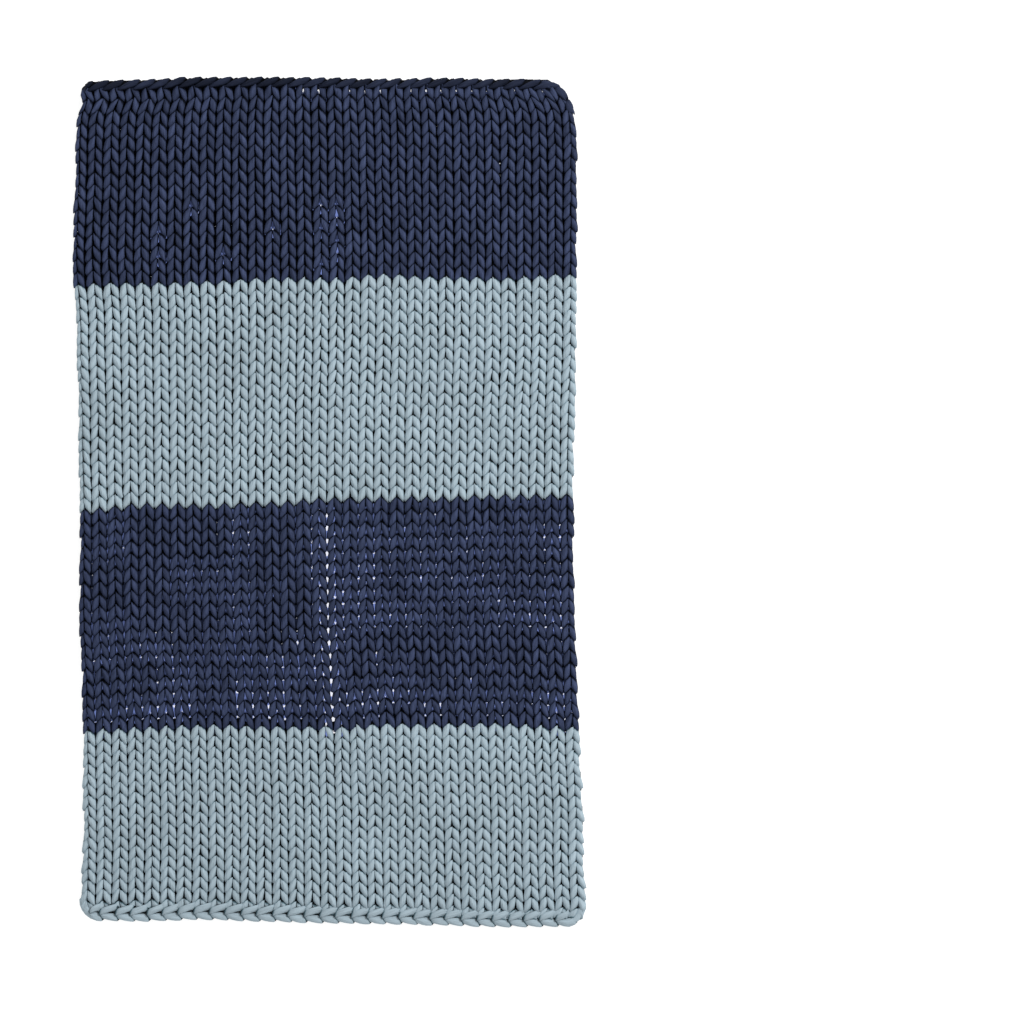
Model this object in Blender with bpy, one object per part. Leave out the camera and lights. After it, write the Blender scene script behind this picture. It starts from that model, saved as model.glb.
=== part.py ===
"""A hand-knitted weighted blanket, laid out flat and seen from its smooth side.

One cloth: thick stuffed yarn knitted in plain stockinette, four stripes knitted one after another,
a rolled first edge at the top and a chain of cast-off loops at the bottom. Metres, +Z up, +Y towards
the rolled edge. The underside lies flat on z = 0 and the origin is under the middle of the blanket.
"""
import math

import bmesh
import bpy
from mathutils import Vector

# ---- driving dimensions (metres) ----
WALES = 31               # columns of stitches across the cloth
THICKNESS = 0.027        # flat side to the crest of a leg of yarn
LEG_CREASE = 0.0065      # how deep the crease lies between the two legs of one wale
WALE_CREASE = 0.0085     # how deep the crease lies between two wales
FOLD_CREASE = 0.0120     # how deep the old fold lies, down the middle of the middle wale
SELVEDGE = 0.027         # edge of the cloth to the middle of the outermost wale
EDGE_TOP = 0.017         # height at which the top of the cloth turns over its side
EDGE_MIDDLE = 0.009      # height of the widest part of the side
EDGE_TURN = 0.004        # how far the top turns in from the widest part
EDGE_FOOT = 0.007        # how far the underside stops short of the widest part
ROPE_TWIST = 0.0045      # depth of the slanting creases in the rolled edge
CHAIN_TWIST = 0.0040     # depth of the creases between the cast-off links

# Rounded corners: how far each one is drawn in.
CORNER = {"top_left": 0.030, "top_right": 0.062, "bottom_left": 0.044, "bottom_right": 0.034}

# Sections across the cloth: where each edge and stripe runs, as Y, at an X from left to right.
#            x,      hem,   rolled, stripe 1, stripe 2, stripe 3, chain,  hem
ACROSS = (
    (-0.535, 0.902, 0.882, 0.457, -0.026, -0.502, -0.867, -0.898),
    (-0.406, 0.906, 0.880, 0.458, -0.015, -0.494, -0.863, -0.900),
    (-0.277, 0.912, 0.885, 0.462, -0.016, -0.490, -0.862, -0.896),
    (-0.127, 0.912, 0.887, 0.470, -0.010, -0.492, -0.867, -0.900),
    (0.002, 0.910, 0.887, 0.468, -0.002, -0.495, -0.874, -0.904),
    (0.109, 0.908, 0.887, 0.478, -0.001, -0.486, -0.875, -0.905),
    (0.238, 0.910, 0.887, 0.472, 0.000, -0.487, -0.879, -0.908),
    (0.367, 0.907, 0.886, 0.470, 0.005, -0.486, -0.885, -0.912),
    (0.528, 0.906, 0.883, 0.476, 0.006, -0.496, -0.881, -0.911),
)

# Sections along the cloth: the two sides and the fold line down the middle, as X, at a Y.
#            y,     left,   fold,  right
ALONG = (
    (0.906, -0.539, -0.006, 0.526),
    (0.734, -0.547, -0.003, 0.530),
    (0.528, -0.552, 0.001, 0.530),
    (0.369, -0.543, 0.000, 0.530),
    (0.142, -0.539, -0.004, 0.524),
    (-0.006, -0.537, -0.005, 0.522),
    (-0.232, -0.537, -0.003, 0.526),
    (-0.404, -0.532, 0.005, 0.532),
    (-0.511, -0.530, 0.011, 0.537),
    (-0.704, -0.530, 0.015, 0.545),
    (-0.908, -0.535, 0.017, 0.552),
)

# Stripes from the top: courses of stitches in it, stations along it, and its colour.
#         courses, stations, colour
STRIPES = ((16, 4, "navy"), (19, 5, "grey_blue"), (18, 5, "navy"), (16, 4, "grey_blue"))

# Height of the rolled edge and of the cast-off chain, from the hem inwards to the groove behind.
ROPE_PROFILE = (0.017, 0.029, 0.033, 0.029, 0.019)
CHAIN_PROFILE = (0.015, 0.025, 0.029, 0.027, 0.018)

# Gaps over 4 mm that one sees through, all in the second navy stripe, the widest of them down the
# fold line: middle of the gap in wales from the left side and in courses below the stripe's top,
# then its width and its length in millimetres.
#        wale,  course, wide, long
GAPS = (
    (15.5, 2.2, 8, 9), (15.5, 3.2, 6, 9), (15.5, 4.1, 9, 11), (15.5, 6.3, 7, 12),
    (15.5, 8.3, 10, 11), (15.5, 10.4, 9, 15), (15.5, 12.4, 7, 9), (15.5, 14.6, 7, 8),
    (15.5, 15.6, 7, 8), (15.5, 16.8, 9, 13), (15.0, 6.8, 8, 10), (15.0, 8.8, 9, 9),
    (15.0, 11.8, 6, 8), (15.0, 17.2, 9, 11), (14.5, 3.3, 6, 10), (14.5, 5.3, 6, 10),
    (13.5, 10.5, 6, 9), (12.5, 12.6, 6, 7), (11.5, 12.6, 6, 6), (12.0, 7.0, 6, 8),
    (11.5, 16.6, 8, 12), (11.0, 17.1, 6, 8), (10.5, 16.6, 6, 8), (9.5, 14.6, 7, 10),
    (9.5, 16.6, 6, 7), (18.5, 4.1, 6, 6), (18.5, 12.2, 8, 8), (18.5, 8.1, 6, 6),
    (21.5, 6.1, 6, 8), (21.5, 16.4, 5, 8), (22.5, 16.4, 6, 8), (20.5, 8.1, 5, 8),
    (24.5, 14.2, 6, 8), (30.0, 16.6, 6, 8), (30.0, 10.1, 6, 6), (20.5, 2.1, 5, 8),
)
GAP_SIDES = 6
GAP_TURN = math.radians(15)
SHARP_ANGLE = math.radians(50)

NAVY = (0.040, 0.055, 0.120, 1.0)
GREY_BLUE = (0.345, 0.440, 0.490, 1.0)
COLOURS = {"navy": NAVY, "grey_blue": GREY_BLUE}


def clear_scene():
    for thing in list(bpy.data.objects):
        bpy.data.objects.remove(thing)


def smooth_between(table, key, column):
    """Read one column of a table at a key, easing from row to row so that no edge has a corner."""
    rows = sorted(table)
    if key <= rows[0][0]:
        return rows[0][column]
    for low, high in zip(rows, rows[1:]):
        if key <= high[0]:
            t = (key - low[0]) / (high[0] - low[0])
            ease = t * t * (3.0 - 2.0 * t)
            return low[column] + (high[column] - low[column]) * ease
    return rows[-1][column]


def corner_inset(depth, radius):
    """How far a rounded corner of this radius draws the side in, at a depth in from the hem."""
    if depth >= radius:
        return 0.0
    return radius - math.sqrt(radius * radius - (radius - depth) ** 2)


def place(wale, line, share=0.0):
    """Where a point of the cloth lies. wale runs from 0 to WALES across it, line is a column of
    ACROSS, and share is how far it is from that line to the next one."""
    rough_x = ALONG[0][1] + (ALONG[0][3] - ALONG[0][1]) * wale / WALES
    here = smooth_between(ACROSS, rough_x, line)
    if share:
        here += (smooth_between(ACROSS, rough_x, line + 1) - here) * share
    left, fold, right = (smooth_between(ALONG, here, column) for column in (1, 2, 3))
    below_top = smooth_between(ACROSS, rough_x, 1) - here
    above_foot = here - smooth_between(ACROSS, rough_x, 7)
    left += corner_inset(below_top, CORNER["top_left"]) + corner_inset(above_foot, CORNER["bottom_left"])
    right -= corner_inset(below_top, CORNER["top_right"]) + corner_inset(above_foot, CORNER["bottom_right"])
    stops = ((0.0, left), (0.5, left + SELVEDGE), (WALES / 2.0, fold),
             (WALES - 0.5, right - SELVEDGE), (float(WALES), right))
    for (w0, x0), (w1, x1) in zip(stops, stops[1:]):
        if wale <= w1:
            break
    return x0 + (x1 - x0) * (wale - w0) / (w1 - w0), here


def stations():
    """Lines across the cloth, from the rolled hem to the cast-off hem.
    Each is its line in ACROSS, its share of the way on, what it crosses and its number in that."""
    lines = [(1, k / 4.0, "rope", k) for k in range(4)]
    lines.append((2, 0.0, "rope", 4))
    for stripe, (courses, count, colour) in enumerate(STRIPES):
        first = 0.6 / courses if stripe == 0 else 0.0
        last = 1.0 - 0.6 / courses if stripe == len(STRIPES) - 1 else 1.0
        steps = count if last < 1.0 else count - 1
        for k in range(steps + 1):
            lines.append((stripe + 2, first + (last - first) * k / count, colour, k))
    lines += [(6, k / 4.0, "chain", 4 - k) for k in range(5)]
    return lines


def height(quarter, crosses, number):
    """Height of the cloth's face, at a quarter of a wale counted from the left side."""
    phase = quarter % 4
    if crosses == "rope":
        crease = ROPE_TWIST if (phase + number) % 4 == 0 and number < 4 else 0.0
        return ROPE_PROFILE[number] - crease
    if crosses == "chain":
        crease = CHAIN_TWIST if (phase + abs(number - 2)) % 4 == 0 else 0.0
        return CHAIN_PROFILE[number] - crease
    if quarter == 2 * WALES:
        return THICKNESS - FOLD_CREASE
    return THICKNESS - (WALE_CREASE, 0.0, LEG_CREASE, 0.0)[phase]


def make_material(name, colour):
    material = bpy.data.materials.new(name)
    material.use_nodes = True
    shader = material.node_tree.nodes["Principled BSDF"]
    shader.inputs["Base Color"].default_value = colour
    shader.inputs["Roughness"].default_value = 0.85
    shader.inputs["Metallic"].default_value = 0.0
    material.diffuse_color = colour
    return material


def make_face(mesh):
    """A grid of quarter wales and stations, bent to the outline and raised to the ribs."""
    rows = stations()
    columns = 4 * WALES
    bmesh.ops.create_grid(mesh, x_segments=columns, y_segments=len(rows) - 1, size=0.5)
    for vertex in mesh.verts:
        column = round((vertex.co.x + 0.5) * columns)
        line, share, crosses, number = rows[round((0.5 - vertex.co.y) * (len(rows) - 1))]
        x, y = place(column / 4.0, line, share)
        vertex.co = (x, y, height(column, crosses, number))


def paint_stripes(mesh):
    """Give each face the colour of the stripe that its middle lies in."""
    for face in mesh.faces:
        middle = face.calc_center_median()
        passed = sum(middle.y < smooth_between(ACROSS, middle.x, line) for line in (3, 4, 5))
        face.material_index = 0 if STRIPES[passed][2] == "navy" else 1


def outward(vertex):
    """The level direction that points out of the cloth at a point of its rim."""
    ends = [edge.other_vert(vertex).co for edge in vertex.link_edges if edge.is_boundary]
    direction = Vector((ends[1].y - ends[0].y, ends[0].x - ends[1].x, 0.0)).normalized()
    return direction if direction.dot(vertex.co) > 0.0 else -direction


def turn_rim(mesh):
    """Turn the rim of the face down over its widest part and in to a flat foot."""
    rim = {vertex.index: (vertex.co.copy(), outward(vertex)) for vertex in mesh.verts if vertex.is_boundary}
    for vertex in mesh.verts:
        if vertex.index in rim:
            widest, out = rim[vertex.index]
            vertex.co = widest - out * EDGE_TURN
            vertex.co.z = EDGE_TOP
    above = {vertex: rim[vertex.index] for vertex in mesh.verts if vertex.index in rim}
    edges = [edge for edge in mesh.edges if edge.is_boundary]
    for level, inset in ((EDGE_MIDDLE, 0.0), (0.0, EDGE_FOOT)):
        grown = bmesh.ops.extrude_edge_only(mesh, edges=edges)["geom"]
        below = {}
        for vertex in (item for item in grown if isinstance(item, bmesh.types.BMVert)):
            parent = next(edge.other_vert(vertex) for edge in vertex.link_edges
                          if edge.other_vert(vertex) in above)
            widest, out = above[parent]
            vertex.co = widest - out * inset
            vertex.co.z = level
            below[vertex] = (widest, out)
        above = below
        edges = [item for item in grown if isinstance(item, bmesh.types.BMEdge) and item.is_boundary]
    bmesh.ops.contextual_create(mesh, geom=edges)


def make_cloth(collection):
    mesh = bmesh.new()
    make_face(mesh)
    paint_stripes(mesh)
    mesh.verts.index_update()
    turn_rim(mesh)
    bmesh.ops.recalc_face_normals(mesh, faces=mesh.faces)
    data = bpy.data.meshes.new("blanket")
    mesh.to_mesh(data)
    mesh.free()
    for name in ("navy", "grey_blue"):
        data.materials.append(make_material(name + "_jersey_yarn", COLOURS[name]))
    data.shade_smooth()
    data.set_sharp_from_angle(angle=SHARP_ANGLE)
    cloth = bpy.data.objects.new("blanket", data)
    collection.objects.link(cloth)
    return cloth


def make_gap_cutters(collection):
    """Six-sided pins through the cloth, one for each gap."""
    mesh = bmesh.new()
    for wale, course, wide, long in GAPS:
        x, y = place(wale, 4, course / STRIPES[2][0])
        pin = bmesh.ops.create_cone(mesh, cap_ends=True, segments=GAP_SIDES, radius1=0.5, radius2=0.5,
                                    depth=4.0 * THICKNESS)["verts"]
        for vertex in pin:
            across = vertex.co.x * wide / 1000.0
            along = vertex.co.y * long / 1000.0
            vertex.co.x = x + across * math.cos(GAP_TURN) - along * math.sin(GAP_TURN)
            vertex.co.y = y + across * math.sin(GAP_TURN) + along * math.cos(GAP_TURN)
    data = bpy.data.meshes.new("gap_pins")
    mesh.to_mesh(data)
    mesh.free()
    pins = bpy.data.objects.new("gap_pins", data)
    pins.hide_render = True
    pins.display_type = "WIRE"
    collection.objects.link(pins)
    return pins


def main():
    clear_scene()
    blanket = bpy.data.collections.new("weighted_blanket")
    cutters = bpy.data.collections.new("cutters")
    for collection in (blanket, cutters):
        bpy.context.scene.collection.children.link(collection)
    cloth = make_cloth(blanket)
    cut = cloth.modifiers.new("see_through_gaps", "BOOLEAN")
    cut.operation = "DIFFERENCE"
    cut.solver = "EXACT"
    cut.object = make_gap_cutters(cutters)


main()
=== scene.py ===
# %% [markdown]
# # A chunky knitted weighted blanket
#
# This lesson dresses the plain solid of the blanket as the real thing: one thick stuffed yarn, knitted by
# hand in stockinette, which is the plain stitch with rows of V on its smooth side. The cloth has 31 wales
# (columns of stitches) and 69 courses (rows), in four stripes of navy and grey-blue. Every stitch here is
# real yarn that hooks into its neighbours, so the small gaps one sees through are real gaps too.
#
# First the solid is loaded. Its box tells where the blanket lies, and nothing may leave that box by much.

# %% Load the solid
import math

import bmesh
import bpy
import numpy as np
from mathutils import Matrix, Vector


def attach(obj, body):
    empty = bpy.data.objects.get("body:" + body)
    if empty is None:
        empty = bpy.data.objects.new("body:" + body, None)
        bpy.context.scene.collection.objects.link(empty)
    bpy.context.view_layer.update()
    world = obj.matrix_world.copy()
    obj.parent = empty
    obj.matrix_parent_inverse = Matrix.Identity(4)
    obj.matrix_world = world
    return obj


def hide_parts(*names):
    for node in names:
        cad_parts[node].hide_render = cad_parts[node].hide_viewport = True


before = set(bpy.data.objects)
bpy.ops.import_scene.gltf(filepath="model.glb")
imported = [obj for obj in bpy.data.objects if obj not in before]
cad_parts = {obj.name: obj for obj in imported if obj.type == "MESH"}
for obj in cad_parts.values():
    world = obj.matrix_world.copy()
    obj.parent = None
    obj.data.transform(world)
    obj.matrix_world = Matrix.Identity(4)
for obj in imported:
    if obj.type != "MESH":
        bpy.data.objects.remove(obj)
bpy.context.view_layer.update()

MM = 0.001

# %% [markdown]
# ## Camera
#
# The blanket is seen from straight above, with no visible perspective. A camera 8 m up with a long lens gives
# that look. An orthographic camera would too, but a long lens also behaves in views from other sides. The
# frame is a square, 2.199 m wide at the height of the cloth, and its middle lies to the right of the
# blanket's, as in the photograph.

# %% Camera
FRAME_WIDTH = 2.1985     # metres across the frame, at the cloth
CAMERA_HEIGHT = 8.0      # metres
CLOTH_HEIGHT = 0.020     # metres, the height at which the frame's width is measured
SENSOR = 36.0            # mm

camera_data = bpy.data.cameras.new("camera")
camera_data.sensor_width = SENSOR
camera_data.lens = SENSOR * (CAMERA_HEIGHT - CLOTH_HEIGHT) / FRAME_WIDTH
camera = bpy.data.objects.new("camera", camera_data)
camera.location = (0.3930, -0.0215, CAMERA_HEIGHT)
bpy.context.scene.collection.objects.link(camera)
bpy.context.scene.camera = camera
print("lens, in mm:", round(camera_data.lens, 1))

# %% [markdown]
# ## Floor and light
#
# The blanket lies on a plain white sweep, lit softly from the upper right. The white shows through the gaps
# between the stitches. So the floor glows a little by itself, as a light table does, and stays white under
# the cloth. The world gives an even fill. A sun lamp would throw hard shadows between the stitches, so the
# key light is a large square lamp instead. It stands well to the side, which rounds the stitches, and its
# size keeps their shadows soft.

# %% Floor and light
FLOOR_REACH = 6.0                    # metres from the middle of the floor to its sides
FLOOR_GREY = 0.45
FLOOR_GLOW = 0.80
FILL_STRENGTH = 0.61
KEY_FROM = (4.0, 3.0, 4.6)           # metres, where the key light stands
KEY_SIZE = 2.2                       # metres
KEY_POWER = 280.0                    # watts

bpy.context.scene.view_settings.view_transform = "Standard"

floor_mesh = bmesh.new()
bmesh.ops.create_grid(floor_mesh, x_segments=1, y_segments=1, size=FLOOR_REACH)
floor_data = bpy.data.meshes.new("floor")
floor_mesh.to_mesh(floor_data)
floor_mesh.free()
floor = bpy.data.objects.new("floor", floor_data)
bpy.context.scene.collection.objects.link(floor)
white_sweep = bpy.data.materials.new("white_sweep")
white_sweep.use_nodes = True
sweep_shader = white_sweep.node_tree.nodes["Principled BSDF"]
sweep_shader.inputs["Base Color"].default_value = (FLOOR_GREY, FLOOR_GREY, FLOOR_GREY, 1.0)
sweep_shader.inputs["Roughness"].default_value = 0.9
sweep_shader.inputs["Emission Color"].default_value = (1.0, 1.0, 1.0, 1.0)
sweep_shader.inputs["Emission Strength"].default_value = FLOOR_GLOW
floor_data.materials.append(white_sweep)

world = bpy.data.worlds.new("studio")
world.use_nodes = True
world.node_tree.nodes["Background"].inputs["Color"].default_value = (1.0, 1.0, 1.0, 1.0)
world.node_tree.nodes["Background"].inputs["Strength"].default_value = FILL_STRENGTH
bpy.context.scene.world = world

key_data = bpy.data.lights.new("key", "AREA")
key_data.size = KEY_SIZE
key_data.energy = KEY_POWER
key = bpy.data.objects.new("key", key_data)
key.location = KEY_FROM
key.rotation_euler = (-Vector(KEY_FROM)).to_track_quat("-Z", "Y").to_euler()
bpy.context.scene.collection.objects.link(key)
print("lights and floor are set")

# %% [markdown]
# ## The cloth's own map
#
# The blanket isn't a perfect rectangle. Its stripes bow a little, its sides wander and its corners are
# rounded. The two tables below say where the hems, the stripes and the sides run, in metres, and they are the
# same as in the solid's source. Two of the corners and the narrow place below the rolled edge are the
# knitting's own, and a few millimetres off the solid's. Everything that follows is laid out in wales and
# courses, and one function turns such a place into metres. Where the map is stretched, the stitches move
# apart but the yarn stays as thick as it is, as in real knitting.

# %% The cloth's own map
WALES = 31
COURSES = 69
STITCH_WIDE = 34.0       # mm, one wale
STITCH_TALL = 25.3       # mm, one course
#        radius of each corner, in metres
CORNER = {"top_left": 0.030, "top_right": 0.072, "bottom_left": 0.044, "bottom_right": 0.047}

#            x,      hem,   rolled, stripe 1, stripe 2, stripe 3, chain,  hem
ACROSS = np.array((
    (-0.535, 0.902, 0.882, 0.457, -0.026, -0.502, -0.867, -0.898),
    (-0.406, 0.906, 0.880, 0.458, -0.015, -0.494, -0.863, -0.900),
    (-0.277, 0.912, 0.885, 0.462, -0.016, -0.490, -0.862, -0.896),
    (-0.127, 0.912, 0.887, 0.470, -0.010, -0.492, -0.867, -0.900),
    (0.002, 0.910, 0.887, 0.468, -0.002, -0.495, -0.874, -0.904),
    (0.109, 0.908, 0.887, 0.478, -0.001, -0.486, -0.875, -0.905),
    (0.238, 0.910, 0.887, 0.472, 0.000, -0.487, -0.879, -0.908),
    (0.367, 0.907, 0.886, 0.470, 0.005, -0.486, -0.885, -0.912),
    (0.528, 0.906, 0.883, 0.476, 0.006, -0.496, -0.881, -0.911),
))
#    y,     left,   fold,  right
ALONG = np.array((
    (-0.908, -0.535, 0.017, 0.552),
    (-0.704, -0.530, 0.015, 0.545),
    (-0.511, -0.530, 0.011, 0.537),
    (-0.404, -0.532, 0.005, 0.532),
    (-0.232, -0.537, -0.003, 0.526),
    (-0.006, -0.537, -0.005, 0.522),
    (0.142, -0.539, -0.004, 0.524),
    (0.369, -0.543, 0.000, 0.530),
    (0.528, -0.552, 0.001, 0.530),
    (0.734, -0.547, -0.003, 0.530),
    (0.906, -0.539, -0.006, 0.526),
))
HEM_TOP, ROLLED, CHAINED, HEM_BOTTOM = 1, 2, 6, 7      # columns of ACROSS
STRIPE_STARTS = (0, 16, 35, 53, 69)                    # courses, from the rolled edge down
#             metres in, at this depth below the hem, over this depth: the rolled edge draws the sides in
PINCH_LEFT = (0.010, 0.042, 0.022)
PINCH_RIGHT = (0.009, 0.036, 0.030)
CORNER_FADE = 4.0                                       # a round corner bends the wales next to it most
SELVEDGE_TOP, SELVEDGE_BOTTOM = 0.0275, 0.033           # side of the cloth to the middle of its first wale


def eased(share):
    return share * share * (3.0 - 2.0 * share)


def read_table(table, key, column):
    """One column of a table at many keys, easing from row to row."""
    keys = table[:, 0]
    key = np.clip(key, keys[0], keys[-1])
    low = np.clip(np.searchsorted(keys, key, side="right") - 1, 0, len(keys) - 2)
    share = eased((key - keys[low]) / (keys[low + 1] - keys[low]))
    return table[low, column] + (table[low + 1, column] - table[low, column]) * share


def corner_inset(depth, radius):
    """How far a rounded corner draws the side in, at a depth in from the hem."""
    short = np.clip(radius - depth, 0.0, radius)
    return radius - np.sqrt(radius * radius - short * short)


def pinch(depth, amount, middle, spread):
    """How far the cloth is drawn in below the rolled edge, at a depth in from the hem."""
    return amount * np.exp(-((depth - middle) / spread) ** 2)


def sides_at(wale, y):
    """Left side, fold line and right side of the cloth, as X, and how far the round corners cut in there."""
    rough_x = ALONG[-1, 1] + (ALONG[-1, 3] - ALONG[-1, 1]) * wale / WALES
    left, fold, right = (read_table(ALONG, y, column) for column in (1, 2, 3))
    below_top = np.maximum(read_table(ACROSS, rough_x, HEM_TOP) - y, 0.0)
    above_foot = np.maximum(y - read_table(ACROSS, rough_x, HEM_BOTTOM), 0.0)
    cut_left, cut_right = (
        corner_inset(below_top, CORNER["top_" + side]) + corner_inset(above_foot, CORNER["bottom_" + side])
        for side in ("left", "right"))
    left = left + pinch(below_top, *PINCH_LEFT)
    right = right - pinch(below_top, *PINCH_RIGHT)
    return left, fold, right, cut_left, cut_right


def selvedge_at(course):
    """How far it is from the side of the cloth to the middle of its first wale."""
    return SELVEDGE_TOP + (SELVEDGE_BOTTOM - SELVEDGE_TOP) * eased(np.clip(course / COURSES, 0.0, 1.0) ** 4)


def place(wale, course):
    """Where a point of the cloth lies, in metres, from its wale and its course."""
    rough_x = ALONG[-1, 1] + (ALONG[-1, 3] - ALONG[-1, 1]) * wale / WALES
    starts = np.array(STRIPE_STARTS, dtype=float)
    stripe = np.clip(np.searchsorted(starts, course, side="right") - 1, 0, len(starts) - 2)
    share = (course - starts[stripe]) / (starts[stripe + 1] - starts[stripe])
    lines = np.stack([read_table(ACROSS, rough_x, column) for column in range(ROLLED, CHAINED + 1)])
    here = np.arange(len(rough_x))
    y = lines[stripe, here] + (lines[stripe + 1, here] - lines[stripe, here]) * share
    left, fold, right, cut_left, cut_right = sides_at(wale, y)
    selvedge = selvedge_at(course)
    half = WALES / 2.0
    from_fold = np.abs(wale - half) / (half - 0.5)
    from_left = fold - (fold - left - selvedge) * from_fold + cut_left * from_fold ** CORNER_FADE
    from_right = fold + (right - selvedge - fold) * from_fold - cut_right * from_fold ** CORNER_FADE
    return np.where(wale < half, from_left, from_right), y


middle_x, middle_y = place(np.array([15.5, 0.5, 30.5]), np.array([35.0, 35.0, 35.0]))
print("wales 1, 16 and 31 at the second stripe's end, in metres:", np.round(middle_x[[1, 0, 2]], 3))

# %% [markdown]
# ## Stuffed jersey yarn: the material
#
# The yarn is a tube of cotton and polyester jersey, about 18 mm thick, stuffed with fibre. Jersey is matt,
# with a faint sheen where its fuzz catches the light at a low angle. It has fine ribs along the tube,
# wrinkles where the tube bends, and it is nearly black where two tubes press together and no light gets in.
#
# One could paint that shade by hand. Here the material paints it into the yarn's colour, and the yarn's own
# mesh says where it is needed. The attribute front tells how far the yarn lies at the front of the cloth, one
# attribute for each flank how much painted shade that flank gets where it touches its neighbour, and around
# goes round the yarn. The material paints shade on what is shut in. Where the navy yarn is stretched thin
# over a gap, the light of the white floor would shine through it: an attribute says where, and the yarn gets
# a painted glow there. The ribs of real jersey are under 1 mm apart, too fine to show, so they are drawn
# about 2.6 mm apart, as coarse as they need to be to show.

# %% Colours and a helper for nodes


def linear(hex_colour):
    """An sRGB hex colour as the linear colour that shaders use."""
    parts = [int(hex_colour[k:k + 2], 16) / 255.0 for k in (0, 2, 4)]
    return tuple(p / 12.92 if p <= 0.04045 else ((p + 0.055) / 1.055) ** 2.4 for p in parts) + (1.0,)


def add_node(tree, kind, inputs=None, **settings):
    """Add one node to a tree. An input is a value, or an output socket that is linked to it."""
    made = tree.nodes.new(kind)
    for name, value in settings.items():
        setattr(made, name, value)
    for name, value in (inputs or {}).items():
        if isinstance(value, bpy.types.NodeSocket):
            tree.links.new(value, made.inputs[name])
        else:
            made.inputs[name].default_value = value
    return made


print("middle grey, linear:", [round(c, 3) for c in linear("808080")])

# %% Stuffed jersey yarn
RIB_SPACING = 2.6        # mm, drawn coarser than real jersey
FUZZ_SIZE = 1.6          # mm
WRINKLE_LONG = 16.0      # mm along the yarn
WRINKLE_WIDE = 0.65      # as a share of the yarn's half width, round it


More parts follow.
